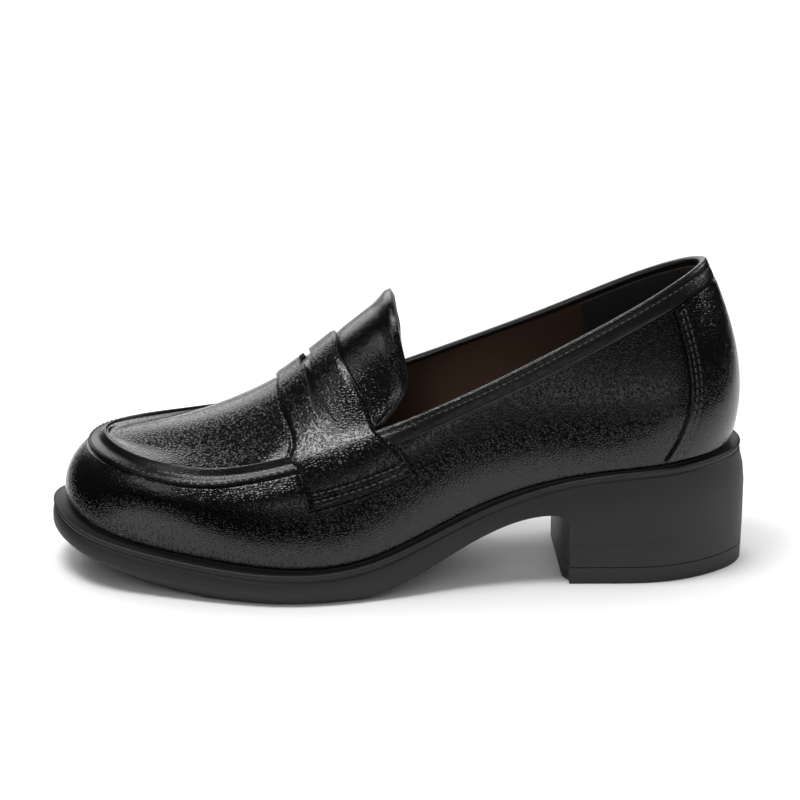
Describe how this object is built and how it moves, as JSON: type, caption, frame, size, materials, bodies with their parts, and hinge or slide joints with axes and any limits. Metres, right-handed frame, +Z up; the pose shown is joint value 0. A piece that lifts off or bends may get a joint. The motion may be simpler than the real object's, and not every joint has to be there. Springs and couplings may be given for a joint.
{
  "type": "loafer pump",
  "caption": "Left penny loafer pump: hollow leather upper with apron, saddle strap and tongue on a moulded sole with a mid block heel.",
  "frame": {"origin": "centre of the bounding box in plan, on the floor under the shoe", "axes": "+X along the shoe towards the heel, -X towards the toe, -Y the lateral (outer) side, +Z up"},
  "size_m": [0.252, 0.0918, 0.1125],
  "materials": {
    "black_leather": "satin, fine pebble grain",
    "brown_lining": "matte lining leather",
    "black_rubber": "matte moulded rubber"
  },
  "bodies": {
    "root": {"upper": "black_leather", "tongue": "black_leather", "saddle_strap": "black_leather", "apron_border": "black_leather", "collar_band": "black_leather", "counter_panel": "black_leather", "insole": "brown_lining", "sole_unit": "black_rubber", "heel_top_piece": "black_rubber"}
  },
  "joints": []
}
